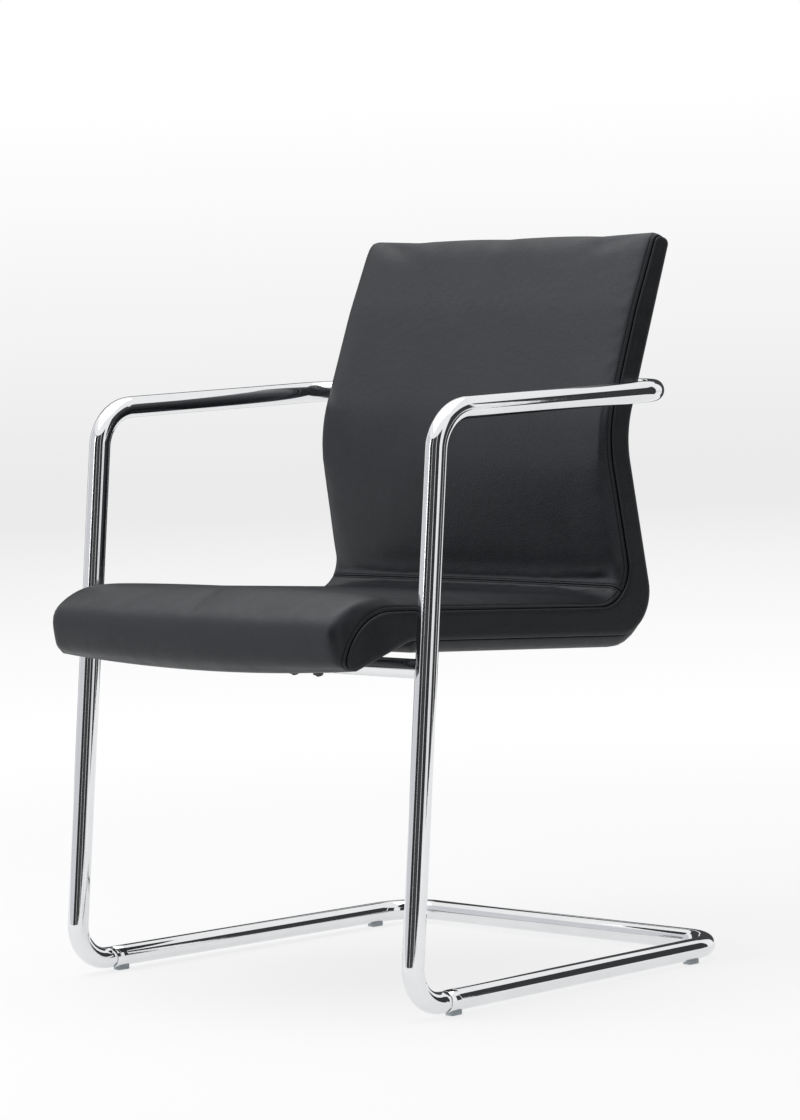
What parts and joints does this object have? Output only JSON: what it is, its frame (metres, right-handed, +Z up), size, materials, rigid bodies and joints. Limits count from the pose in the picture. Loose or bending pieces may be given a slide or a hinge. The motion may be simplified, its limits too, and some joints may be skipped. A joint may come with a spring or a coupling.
{
  "type": "cantilever visitor armchair",
  "caption": "Cantilever visitor armchair: chrome tube frame whose runners, legs and arms are one bent line, with a moulded seat-and-back shell upholstered in black leather.",
  "frame": {"origin": "centre of the bounding box on the floor under the glides", "axes": "+Z up; the front of the seat faces -Y; +X is on the left of a person sitting in the chair, at the right of someone looking at its front"},
  "size_m": [0.595, 0.6058, 0.8546],
  "materials": {
    "chrome": "polished chrome plating on steel tube",
    "steel": "bare turned steel, inside the tubes",
    "zinc": "black zinc-plated screws, washers and tee nuts",
    "leather": "satin-matt black leather with a fine grain",
    "foam": "moulded polyurethane foam",
    "plywood": "raw moulded beech plywood",
    "nylon": "black nylon",
    "glide": "grey translucent plastic"
  },
  "bodies": {
    "floor_frame": {"runner_left": "chrome", "runner_right": "chrome", "floor_rear_bend": "chrome", "floor_sleeves": "steel", "glides": "glide", "joint_plugs": "steel"},
    "swing_frame": {"side_tube_left": "chrome", "side_tube_right": "chrome", "back_bar": "chrome", "bar_sleeves": "steel", "seat_tube": "chrome", "seat_saddles": "nylon", "seat_washers": "zinc", "seat_screws": "zinc", "seat_tee_nuts": "zinc", "back_saddles": "nylon", "back_washers": "zinc", "back_screws": "zinc", "back_tee_nuts": "zinc", "ply_shell": "plywood", "seat_foam": "foam", "back_foam": "foam", "seat_cover": "leather", "back_cover": "leather", "outer_cover": "leather", "side_band_left": "leather", "side_band_right": "leather", "underside_pad": "leather"}
  },
  "joints": [
    {"name": "frame_flex", "type": "hinge", "parent": "floor_frame", "child": "swing_frame", "pos_m": [0, -0.18668, 0.0165], "axis": [-1, 0, 0], "range_deg": [0, 3], "stiffness_Nm_per_rad": 5500, "springref_deg": -0.29}
  ]
}
